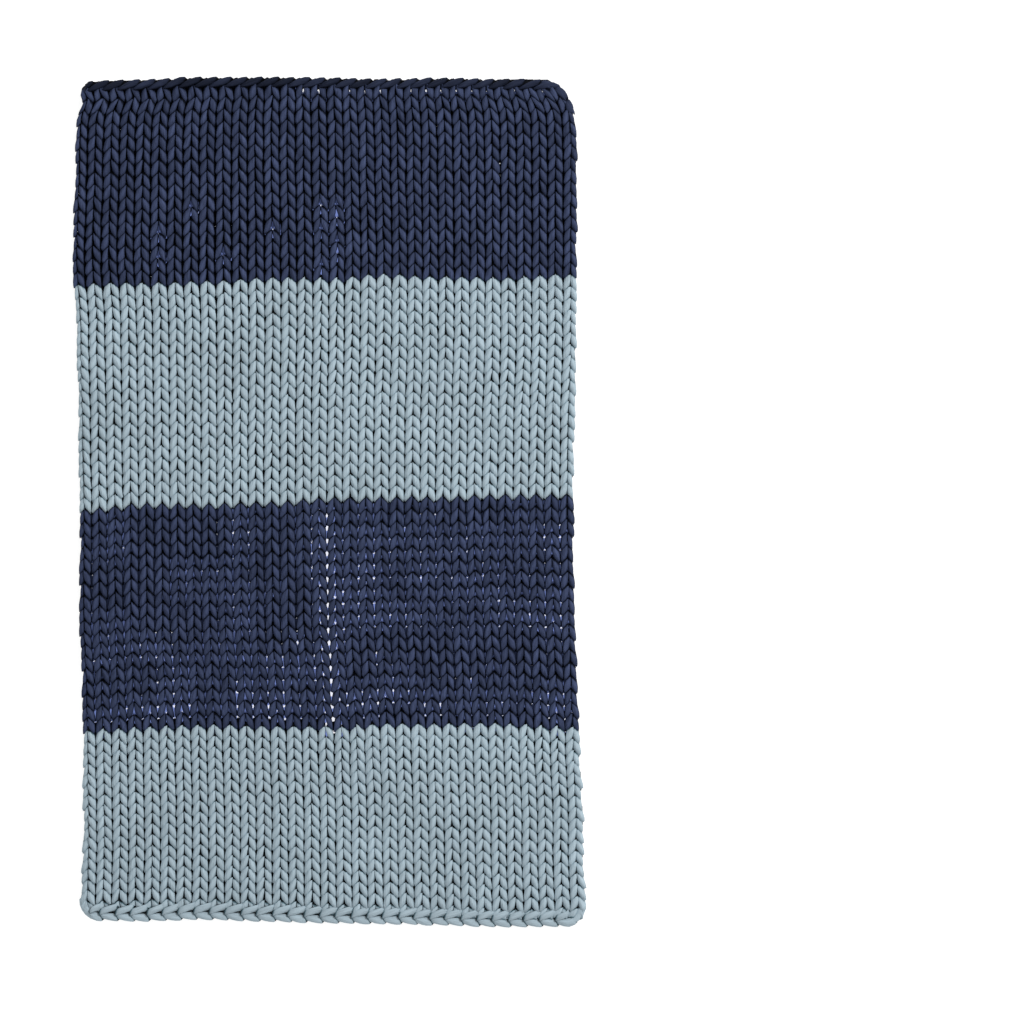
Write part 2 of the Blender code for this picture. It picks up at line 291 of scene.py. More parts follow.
def jersey_yarn(name, colours, tone_depth, streak, sheen, roughness, gloss, glow, flank, ends):
    """Matt stuffed jersey.

    Its colours are that of its top, of its fuzz, which also colours its painted glow, of the painted shade on
    its edges and of the painted shade in deep creases. Tone depth is how much one leg differs from the next,
    and streak how much the wrinkles do along a leg. Flank is where the painted shade of a flank starts and
    ends, from 0 at the side to 1 on top, and ends is the same along the yarn.
    """
    top_colour, fuzz_and_glow_colour, painted_edge_shade, painted_crease_shade = colours
    material = bpy.data.materials.new(name)
    material.use_nodes = True
    tree = material.node_tree
    shader = tree.nodes["Principled BSDF"]
    shader.inputs["Roughness"].default_value = roughness
    shader.inputs["IOR"].default_value = 1.45
    shader.inputs["Specular IOR Level"].default_value = gloss
    shader.inputs["Sheen Weight"].default_value = sheen
    shader.inputs["Sheen Roughness"].default_value = 0.45
    shader.inputs["Sheen Tint"].default_value = linear(fuzz_and_glow_colour)

    front = add_node(tree, "ShaderNodeAttribute", attribute_name="front").outputs["Fac"]
    flank_shade = [add_node(tree, "ShaderNodeAttribute", attribute_name="packed_" + side).outputs["Fac"]
              for side in ("left", "right")]
    tone_and_shade = add_node(tree, "ShaderNodeAttribute", attribute_name="tone_and_shade").outputs["Fac"]
    along = add_node(tree, "ShaderNodeAttribute", attribute_name="along").outputs["Fac"]
    around = add_node(tree, "ShaderNodeAttribute", attribute_name="around").outputs["Vector"]
    metres = add_node(tree, "ShaderNodeTexCoord").outputs["Object"]

    # Coordinates that follow the yarn: round it in X and Y, along it in Z.
    axis = add_node(tree, "ShaderNodeCombineXYZ", {"Z": along}).outputs["Vector"]
    on_yarn = add_node(tree, "ShaderNodeVectorMath", {0: around, 1: axis}, operation="ADD").outputs["Vector"]
    stretched = add_node(tree, "ShaderNodeVectorMath", operation="MULTIPLY", inputs={
        0: on_yarn, 1: (1.0 / WRINKLE_WIDE, 1.0 / WRINKLE_WIDE, 1.0 / WRINKLE_LONG)}).outputs["Vector"]
    wrinkles = add_node(tree, "ShaderNodeTexNoise", {
        "Vector": stretched, "Scale": 1.0, "Detail": 3.0, "Roughness": 0.55,
        "Distortion": 0.6}).outputs["Fac"]
    ribbed = add_node(tree, "ShaderNodeVectorMath", operation="MULTIPLY", inputs={
        0: on_yarn, 1: (8.0 / RIB_SPACING, 8.0 / RIB_SPACING, 0.02)}).outputs["Vector"]
    ribs = add_node(tree, "ShaderNodeTexNoise", {
        "Vector": ribbed, "Scale": 1.0, "Detail": 1.0, "Roughness": 0.5}).outputs["Fac"]
    fuzz = add_node(tree, "ShaderNodeTexNoise", {
        "Vector": metres, "Scale": 1000.0 / FUZZ_SIZE, "Detail": 1.0}).outputs["Fac"]
    patches = add_node(tree, "ShaderNodeTexNoise", {
        "Vector": metres, "Scale": 5.0, "Detail": 2.0}).outputs["Fac"]

    def mapped(value, low, high, at_low=0.0, at_high=1.0, smooth=False):
        return add_node(tree, "ShaderNodeMapRange", {
            "Value": value, "From Min": low, "From Max": high, "To Min": at_low, "To Max": at_high},
            interpolation_type="SMOOTHSTEP" if smooth else "LINEAR").outputs["Result"]

    def times(first, second):
        return add_node(tree, "ShaderNodeMath", {0: first, 1: second}, operation="MULTIPLY").outputs["Value"]

    leg_tone_and_shade = add_node(tree, "ShaderNodeMath", {0: tone_and_shade, 1: 2.0 * tone_depth, 2: 1.0 - tone_depth},
                        operation="MULTIPLY_ADD").outputs["Value"]
    brightness = times(leg_tone_and_shade, mapped(patches, 0.3, 0.7, 0.95, 1.05))
    brightness = times(brightness, mapped(wrinkles, 0.28, 0.72, 1.0 - streak, 1.0 + 0.8 * streak))
    brightness = times(brightness, mapped(ribs, 0.3, 0.7, 0.95, 1.05))
    brightness = times(brightness, mapped(fuzz, 0.3, 0.7, 0.97, 1.03))
    # Painted shade where the yarn is shut in: on the flanks, where two legs touch, and wherever the yarn
    # dives behind.
    here = add_node(tree, "ShaderNodeSeparateXYZ", {"Vector": around}).outputs
    flank_shade_here = mapped(here["X"], -0.6, 0.6, flank_shade[0], flank_shade[1])
    painted_flank_shade = times(mapped(here["Y"], *flank, 1.0, 0.0, smooth=True), flank_shade_here)
    flank_unshaded = add_node(tree, "ShaderNodeMath", {0: 1.0, 1: painted_flank_shade}, operation="SUBTRACT").outputs["Value"]
    painted_light_share = times(mapped(front, *ends, smooth=True), flank_unshaded)
    # The ramp paints the shade into the colour: painted crease shade at 0, painted edge shade at 0.5, the
    # yarn's own top colour at 1.
    depth = add_node(tree, "ShaderNodeValToRGB", {"Fac": painted_light_share})
    for stop, (position, colour) in zip([0, 1], ((0.0, painted_crease_shade), (1.0, top_colour))):
        depth.color_ramp.elements[stop].position = position
        depth.color_ramp.elements[stop].color = linear(colour)
    depth.color_ramp.elements.new(0.5).color = linear(painted_edge_shade)
    lit = add_node(tree, "ShaderNodeVectorMath", operation="SCALE", inputs={
        0: depth.outputs["Color"], "Scale": brightness})
    tree.links.new(lit.outputs["Vector"], shader.inputs["Base Color"])

    # A painted glow on slack yarn behind, where the floor's light would shine through it.
    if glow:
        painted_glow = add_node(tree, "ShaderNodeAttribute", attribute_name="painted_glow").outputs["Fac"]
        shader.inputs["Emission Color"].default_value = linear(fuzz_and_glow_colour)
        tree.links.new(mapped(painted_glow, 0.1, 0.5, 0.0, glow), shader.inputs["Emission Strength"])

    relief = add_node(tree, "ShaderNodeMath", operation="MULTIPLY_ADD", inputs={
        0: wrinkles, 1: 1.6, 2: times(ribs, 0.7)}).outputs["Value"]
    relief = add_node(tree, "ShaderNodeMath", operation="MULTIPLY_ADD", inputs={
        0: fuzz, 1: 0.25, 2: relief}).outputs["Value"]
    bump = add_node(tree, "ShaderNodeBump", {"Height": relief, "Strength": 0.75, "Distance": 1.6 * MM})
    tree.links.new(bump.outputs["Normal"], shader.inputs["Normal"])
    return material


# The navy yarn is darker and its legs differ more. The grey-blue yarn is smoother and evenly coloured.
# Its colours are the top, the fuzz and painted glow, the painted edge shade and the painted crease shade.
YARN_LOOKS = {
    "navy": {
        "colours": ("3b4460", "7f92d6", "161c2d", "04060b"), "tone_depth": 0.22, "streak": 0.32,
        "sheen": 0.04, "roughness": 0.75, "gloss": 0.08, "glow": 0.8,
        "flank": (0.10, 0.85), "ends": (0.12, 0.90)},
    "grey_blue": {
        "colours": ("a8bac4", "e2eef2", "5a7782", "050b0f"), "tone_depth": 0.045, "streak": 0.09,
        "sheen": 0.08, "roughness": 0.85, "gloss": 0.20, "glow": 0.0,
        "flank": (0.05, 0.42), "ends": (0.10, 0.56)},
}
YARNS = {colour: jersey_yarn(colour + "_stuffed_jersey", **look) for colour, look in YARN_LOOKS.items()}
print("yarns:", ", ".join(material.name for material in YARNS.values()))

# %% [markdown]
# ## From a line to a yarn
#
# A row of knitting is one line that winds through its neighbours, and the yarn is a tube around that line. A
# curve with a bevel would be quick, but its tube is round everywhere. Real stuffed yarn is squashed: a leg is
# nearly flat on top, and behind the yarn is wide and thin. So this Geometry Nodes tree sweeps a ring along
# the line and then sets each point of the ring itself, from attributes on the line: which way is sideways,
# which way is up, and how wide and how thick the yarn is there. The ring's outline is a superellipse, a
# circle that squareness turns towards a square with round corners.
#
# The tree also stores the attribute around, which runs round the yarn without a seam. The other attributes
# that the material reads come with the line, and pass through to the yarn.

# %% Geometry Nodes: a stuffed yarn along a line


def stuffed_yarn_tree():
    tree = bpy.data.node_groups.new("stuffed_yarn", "GeometryNodeTree")
    sockets = tree.interface
    sockets.new_socket("Line", in_out="INPUT", socket_type="NodeSocketGeometry")
    sides = sockets.new_socket("Sides round the yarn", in_out="INPUT", socket_type="NodeSocketInt")
    sides.default_value = 8
    square = sockets.new_socket("Squareness", in_out="INPUT", socket_type="NodeSocketFloat")
    square.default_value = 2.8
    sockets.new_socket("Yarn", in_out="INPUT", socket_type="NodeSocketMaterial")
    sockets.new_socket("Knitting", in_out="OUTPUT", socket_type="NodeSocketGeometry")
    given = tree.nodes.new("NodeGroupInput").outputs

    def node(kind, inputs=None, **settings):
        return add_node(tree, kind, inputs, **settings)

    def attribute(name, kind="FLOAT"):
        return node("GeometryNodeInputNamedAttribute", {"Name": name}, data_type=kind).outputs["Attribute"]

    def maths(operation, *values):
        return node("ShaderNodeMath", dict(enumerate(values)), operation=operation).outputs["Value"]

    line = node("GeometryNodeMeshToCurve", {"Mesh": given["Line"]}).outputs["Curve"]
    middle = node("GeometryNodeCaptureAttribute", {"Geometry": line})
    middle.capture_items.new("VECTOR", "middle")
    tree.links.new(node("GeometryNodeInputPosition").outputs["Position"], middle.inputs[1])

    ring = node("GeometryNodeCurvePrimitiveCircle", {
        "Resolution": given["Sides round the yarn"], "Radius": 0.008})
    turned = maths("MULTIPLY", maths("DIVIDE", node("GeometryNodeInputIndex").outputs["Index"],
                                     given["Sides round the yarn"]), 2.0 * math.pi)
    ring = node("GeometryNodeCaptureAttribute", {"Geometry": ring.outputs["Curve"]})
    ring.capture_items.new("FLOAT", "turn")
    tree.links.new(turned, ring.inputs[1])
    tube = node("GeometryNodeCurveToMesh", {
        "Curve": middle.outputs["Geometry"], "Profile Curve": ring.outputs["Geometry"], "Fill Caps": True})

    def rounded(function):
        """Cosine or sine of the turn, raised to make the circle squarer."""
        plain = maths(function, ring.outputs[1])
        power = maths("DIVIDE", 2.0, given["Squareness"])
        return plain, maths("MULTIPLY", maths("SIGN", plain), maths("POWER", maths("ABSOLUTE", plain), power))

    across, across_square = rounded("COSINE")
    up, up_square = rounded("SINE")
    reach = maths("ADD", maths("MULTIPLY", maths("MAXIMUM", across_square, 0.0), attribute("wide_right")),
                  maths("MULTIPLY", maths("MINIMUM", across_square, 0.0), attribute("wide_left")))
    rise = maths("MULTIPLY", up_square, attribute("thick"))
    moves = (("side", reach), ("lift", rise))
    parts = [node("ShaderNodeVectorMath", operation="SCALE", inputs={
        0: attribute(direction, "FLOAT_VECTOR"), "Scale": amount}) for direction, amount in moves]
    offset = node("ShaderNodeVectorMath", {0: parts[0].outputs["Vector"], 1: parts[1].outputs["Vector"]})
    spot = node("ShaderNodeVectorMath", {0: middle.outputs[1], 1: offset.outputs["Vector"]})
    tube = node("GeometryNodeSetPosition", {
        "Geometry": tube.outputs["Mesh"], "Position": spot.outputs["Vector"]})

    round_it = node("ShaderNodeCombineXYZ", {"X": across, "Y": up})
    tube = node("GeometryNodeStoreNamedAttribute", {
        "Geometry": tube.outputs["Geometry"], "Name": "around", "Value": round_it.outputs["Vector"]},
        data_type="FLOAT_VECTOR")
    for used_up in ("side", "lift", "wide_left", "wide_right", "thick"):
        tube = node("GeometryNodeRemoveAttribute", {"Geometry": tube.outputs["Geometry"], "Name": used_up})
    tube = node("GeometryNodeSetShadeSmooth", {"Geometry": tube.outputs["Geometry"]})
    tube = node("GeometryNodeRealizeInstances", {"Geometry": tube.outputs["Geometry"]})
    tube = node("GeometryNodeSetMaterial", {"Geometry": tube.outputs["Geometry"], "Material": given["Yarn"]})
    leave = tree.nodes.new("NodeGroupOutput")
    tree.links.new(tube.outputs["Geometry"], leave.inputs["Knitting"])
    return tree


yarn_tree = stuffed_yarn_tree()
print("nodes in the tree:", len(yarn_tree.nodes))

# %% [markdown]
# ## Spinning: a table of points in, a finished piece out
#
# A helper takes the lines of one piece, writes their attributes, runs the tree and turns the result into a
# plain mesh. Sideways is level and square to the yarn, and lift is square to both, so the flat top of a leg
# always faces up out of the cloth.

# %% Spin a piece
POINT_FACTS = ("wide_left", "wide_right", "thick", "front", "packed_left", "packed_right", "painted_glow", "tone_and_shade",
               "along")


def directions(points):
    """Sideways and lift for each point of a line."""
    ahead = np.gradient(points, axis=0)
    ahead /= np.linalg.norm(ahead, axis=1, keepdims=True)
    side = np.cross(ahead, np.array((0.0, 0.0, 1.0)))
    side /= np.maximum(np.linalg.norm(side, axis=1, keepdims=True), 1e-9)
    return side, np.cross(side, ahead)


def spin(name, lines, colour, sides=8, squareness=2.8):
    """Make one piece from its lines. A line has points in metres and one array for each of POINT_FACTS."""
    points = np.concatenate([line["points"] for line in lines])
    edges, first = [], 0
    for line in lines:
        count = len(line["points"])
        start = np.arange(first, first + count - 1)
        edges.append(np.stack([start, start + 1], axis=1))
        if line.get("ring"):
            edges.append(np.array([[first + count - 1, first]]))
        first += count
    data = bpy.data.meshes.new(name)
    data.from_pydata(points.tolist(), np.concatenate(edges).tolist(), [])
    for fact in POINT_FACTS:
        values = np.concatenate([line[fact] for line in lines]).astype(np.float32)
        data.attributes.new(fact, "FLOAT", "POINT").data.foreach_set("value", values)
    for fact in ("side", "lift"):
        values = np.concatenate([line[fact] for line in lines]).astype(np.float32)
        data.attributes.new(fact, "FLOAT_VECTOR", "POINT").data.foreach_set("vector", values.ravel())
    guide = bpy.data.objects.new(name + "_guide", data)
    bpy.context.scene.collection.objects.link(guide)

    modifier = guide.modifiers.new("stuffed_yarn", "NODES")
    modifier.node_group = yarn_tree
    settings = {"Sides round the yarn": sides, "Squareness": squareness, "Yarn": YARNS[colour]}
    for item in yarn_tree.interface.items_tree:
        if item.item_type == "SOCKET" and item.in_out == "INPUT" and item.name in settings:
            modifier[item.identifier] = settings[item.name]
    bpy.context.view_layer.update()
    made = bpy.data.meshes.new_from_object(guide.evaluated_get(bpy.context.evaluated_depsgraph_get()))
    made.name = name
    bpy.data.objects.remove(guide)
    mesh = bmesh.new()
    mesh.from_mesh(made)
    bmesh.ops.recalc_face_normals(mesh, faces=mesh.faces)
    mesh.to_mesh(made)
    mesh.free()
    piece = bpy.data.objects.new(name, made)
    bpy.context.scene.collection.objects.link(piece)
    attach(piece, "root")
    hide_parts("blanket")
    triangles = sum(len(polygon.vertices) - 2 for polygon in made.polygons)
    print(f"{name}: {triangles} triangles")
    return piece


# %% [markdown]
# ## One stitch
#
# In stockinette each stitch is a loop. Its yarn comes from behind at the lower left, rises in front as a leg
# that leans outwards, goes round behind as the loop's head, comes down in front as the other leg and goes
# behind again. Two legs of a loop make one V. The table follows one leg from the wall between two wales,
# where it lies behind, up to the middle of its loop's head. Across is a share of the half wale, and the rest
# are mm: up from the middle of the course, out of the cloth, and the yarn's half width and half thickness.
# Front is 1 where the yarn is in full light. The other leg is the same table read backwards and mirrored.
#
# No stitch is like the next in hand knitting. Seeded random numbers move, fatten and tilt each leg a little,
# and slower drifts, a few stitches wide, make whole courses and wales wander.

# %% Stitches that drift
SEED = 9
#    across, up,    out,   wide,  thick, front
LEG = np.array((
    (0.00, -19.0, -6.5, 16.5, 5.0, 0.00),    # behind, on the wall between two wales
    (0.42, -15.5, -6.0, 15.0, 5.0, 0.00),
    (0.50, -10.0, -1.5, 5.0, 5.2, 0.00),     # comes through the stitch below
    (0.47, -7.3, 5.2, 7.4, 5.8, 0.80),       # the point of the V
    (0.51, -2.2, 8.6, 10.4, 7.4, 1.00),
    (0.47, 6.3, 6.4, 9.8, 7.2, 1.00),
    (0.38, 11.3, 3.6, 7.8, 6.8, 0.08),       # dives under the next stitch
    (0.50, 17.0, -4.5, 15.0, 5.5, 0.00),
    (1.00, 19.0, -6.5, 16.5, 5.0, 0.00),     # the loop's head, behind, in the middle of the wale
))
SHEAR = 1.30             # slant of a leg's ends: its side at the middle of the wale lies lower
MIDDLE_HEIGHT = 13.2     # mm, middle of the cloth above the floor
COURSE_SHIFT = 0.25      # the middle of a course's loops, in courses below the course's upper line
# The most that one leg differs from another: shares for wide and thick, and mm for the rest.
LEG_VARIES = {"across": 0.9, "along": 1.3, "tilt": 1.2, "height": 0.7, "wide": 0.05, "thick": 0.05}
#             most, seed, wales and courses of a cell
DRIFTS = {
    "course": (1.6, 1, 3.0, 2.5),        # mm that a course wanders up and down
    "wale": (1.3, 2, 2.0, 6.0),          # mm that a wale wanders to the side
    "halves": (1.6, 3, 5.0, 9.0),        # mm that the two legs of a V lie higher and lower
    "wall": (1.3, 4, 4.0, 6.0),          # mm that the wall between two wales wanders
    "patch": (0.9, 5, 2.0, 2.0),         # slack of patches of the cloth
}


def drift(wale, course, most, seed, cell_wales, cell_courses):
    """A slow random field from -most to most, with one random number to each cell, eased between them."""
    wide = int(WALES / cell_wales) + 4
    tall = int(COURSES / cell_courses) + 4
    values = np.random.default_rng(SEED * 1000 + seed).uniform(-1.0, 1.0, (tall, wide))
    u = np.clip(wale / cell_wales + 1.0, 0.0, wide - 1.001)
    v = np.clip(course / cell_courses + 1.0, 0.0, tall - 1.001)
    i, j = u.astype(int), v.astype(int)
    s, t = eased(u - i), eased(v - j)
    upper = values[j, i] * (1 - s) + values[j, i + 1] * s
    lower = values[j + 1, i] * (1 - s) + values[j + 1, i + 1] * s
    return most * (upper * (1 - t) + lower * t)


sample = drift(np.linspace(0, WALES, 200), np.linspace(0, COURSES, 200), *DRIFTS["course"])
print("a drift runs from", round(float(sample.min()), 2), "to", round(float(sample.max()), 2))

# %% [markdown]
# ## Where the cloth is loose
#
# The blanket was folded down its middle when it was packed, and the fold line shows: the two legs of the
# middle wale lie apart. In the second navy stripe the knitting is looser altogether, and one sees the white
# floor through it in small specks along some courses and in larger gaps on the fold line. The first stripe
# has a few gaps too, and a row of small ones right under the rolled edge. The grey-blue stripes are knitted
# tight, and what lies behind their creases is dark. One function gives the slack of the yarn at any place.
# Slack yarn is thinner behind.

# %% Slack and gaps
FOLD = WALES / 2.0
NAVY_2 = (35.0, 53.0)    # courses of the second navy stripe
HANGS_OVER = 0.9         # courses that the last course of a stripe hangs down into the next stripe
#   course, half of the blanket: -1 is left, 1 right and 0 both
LOOSE_COURSES = ((37.6, 1), (38.9, 1), (40.9, 1), (42.9, 1), (44.8, 1), (47.1, -1), (49.0, -1), (50.8, 0),
                 (51.6, -1))
BASE_SLACK, PATCH_SLACK, LINE_SLACK, FOLD_SLACK = 0.12, 0.24, 0.46, 0.8     # shares of full slack
FOLD_SPREAD = 0.55       # wales that the fold loosens the cloth over
GAP_SPREAD = (0.30, 0.50)                      # wales and courses that a gap loosens the cloth over


def slack(wale, course):
    """How loose the cloth is, from 0, tight, to 1."""
    near_fold = np.exp(-((wale - FOLD) / FOLD_SPREAD) ** 2)
    in_navy_2 = ((course > NAVY_2[0]) & (course < NAVY_2[1] + HANGS_OVER)).astype(float)
    patch = np.clip(drift(wale, course, *DRIFTS["patch"]) + 0.1, 0.0, 1.0)
    lines = np.zeros_like(wale)
    for loose_course, half in LOOSE_COURSES:
        on_half = np.ones_like(wale) if half == 0 else (half * (wale - FOLD) > 0).astype(float)
        lines = np.maximum(lines, on_half * np.exp(-((course - loose_course) / 0.45) ** 2))
    even = in_navy_2 * (BASE_SLACK + PATCH_SLACK * patch + LINE_SLACK * lines * (0.4 + 0.6 * patch))
    loose = np.clip(even + FOLD_SLACK * near_fold * in_navy_2, 0.0, 1.0)
    for gap_wale, gap_course, _push in ALL_GAPS:
        away = ((wale - gap_wale) / GAP_SPREAD[0]) ** 2 + ((course - gap_course) / GAP_SPREAD[1]) ** 2
        loose = np.maximum(loose, np.exp(-away))
    return loose


# Gaps that one sees through: wale, course, and how far the yarn is pushed apart, in mm.
GAPS = (
    (15.5, 37.2, 3.0), (15.5, 38.2, 2.0), (15.5, 39.1, 3.4), (15.5, 41.3, 3.0), (15.5, 43.3, 3.6),
    (15.5, 45.4, 3.6), (15.5, 47.4, 2.6), (15.5, 49.6, 2.6), (15.5, 50.6, 2.4), (15.5, 51.8, 3.4),
    (15.0, 41.8, 3.0), (15.0, 43.8, 3.2), (15.0, 46.8, 2.0), (15.0, 52.2, 3.2), (14.5, 38.3, 2.0),
    (14.5, 40.3, 2.0), (13.5, 45.5, 2.4), (12.5, 47.6, 2.2), (11.5, 47.6, 2.0), (12.0, 42.0, 2.2),
    (11.5, 51.6, 3.0), (11.0, 52.1, 2.0), (10.5, 51.6, 2.4), (9.5, 49.6, 2.8), (9.5, 51.6, 2.2),
    (18.5, 39.1, 2.0), (18.5, 47.2, 3.0), (18.5, 43.1, 2.0), (21.5, 41.1, 2.2), (21.5, 51.4, 2.0),
    (22.5, 51.4, 2.2), (20.5, 43.1, 2.0), (24.5, 49.2, 2.4), (30.0, 51.6, 2.4), (30.0, 45.1, 2.4),
    (20.5, 37.1, 2.0), (15.0, 9.65, 2.4), (16.0, 9.65, 2.4), (16.0, 10.65, 2.0), (15.0, 11.65, 2.0),
    (16.0, 12.65, 2.0), (16.0, 13.65, 2.6), (15.0, 14.65, 2.4), (12.0, 11.65, 2.6), (5.0, 11.65, 2.4),
    (5.0, 13.65, 2.6), (9.0, 13.65, 2.2), (7.0, 9.65, 2.4),
)
TOP_GAP_COURSE = 0.12    # where the gaps under the rolled edge lie
TOP_GAP_PUSH = 5.0       # mm
UNDER_ROLLED_EDGE = (14, 15, 17, 18, 19, 21, 22, 23, 24, 25, 26, 28, 29, 30)     # the walls with a gap there
ALL_GAPS = GAPS + tuple((float(wall), TOP_GAP_COURSE, TOP_GAP_PUSH) for wall in UNDER_ROLLED_EDGE)
GAP_REACH = 0.010        # metres, how far from a gap the yarn is still pushed
LEG_PUSH = 0.35          # share of the push that the middle of a leg gets


def push_apart(x, y, front):
    """Move points of the yarn away from the middle of each gap."""
    wales, courses, pushes = (np.array(column) for column in zip(*ALL_GAPS))
    gap_x, gap_y = place(wales, courses)
    for middle_x, middle_y, push in zip(gap_x, gap_y, pushes):
        away_x, away_y = x - middle_x, y - middle_y
        far = np.hypot(away_x, away_y)
        near = far < 3.0 * GAP_REACH
        amount = push * MM * np.exp(-(far[near] / GAP_REACH) ** 2) / (far[near] + 0.002)
        amount *= np.where(front[near] == 1.0, LEG_PUSH, 1.0)
        x[near] += away_x[near] * amount
        y[near] += 0.6 * away_y[near] * amount
    return x, y


on_fold = slack(np.array([FOLD]), np.array([44.0]))
print("slack on the fold line in the second navy stripe:", round(float(on_fold[0]), 2))

# %% [markdown]
# ## One course
#
# A course is the line of all its stitches. At both sides it runs on for one leg, which fills the selvedge:
# there the cloth rolls away round its edge, so that leg is narrower and lies lower. Each leg is as wide as
# its lane, the strip between two walls, where it presses on its neighbours. Under the two hems the course
# sinks, to make room for the chains.

# %% A course of knitting
WALL_GAP = {"navy": -0.25, "grey_blue": -0.3}    # mm from a leg to its wall: under 0, legs press together
TOP_GAP = 1.3            # mm more where the first course is slack
WALL_VARIES = {"navy": 1.5, "grey_blue": 0.9}    # mm, the most that a wall lies to the side of its place
THINNER_BEHIND = 0.50    # share of its width that fully slack yarn loses behind
THINNER_UNDER_EDGE = 0.75                        # and in the course that hides under the rolled edge
FREE_BEHIND = 14.0       # mm that the yarn behind may reach into the next lane
EDGE_VARIES = 2.6        # mm, the most that a leg of the selvedge bulges in or out
EDGE_INSIDE = 2.0        # mm that the middle of the selvedge's yarn stays inside the outline
EDGE_LIGHT = 0.4         # how open to the light the yarn behind is at the side of the cloth
OUTWARD_CLEAR = 0.9      # share of its shade that the selvedge's outward flank loses
UNDER_SHADE = 0.85       # share of its light that a course loses under a hem
EDGE_BULGE = (-1.6, 2.2)                         # mm that the left and the right selvedge bulge out
EDGE_DROP = 5.0          # mm that the yarn of the selvedge sinks at the side of the cloth
TUCKED_IN = 3.0          # mm that the yarn behind the selvedge stays inside it
HEM_DROP = 8.0           # mm that a course sinks under a hem
HIDDEN_FOOT = -13.0      # mm: over a gap, the course under the rolled edge hangs no lower than this
HEM_ROOM = 9.0           # mm that the middle of the yarn stays inside the hems


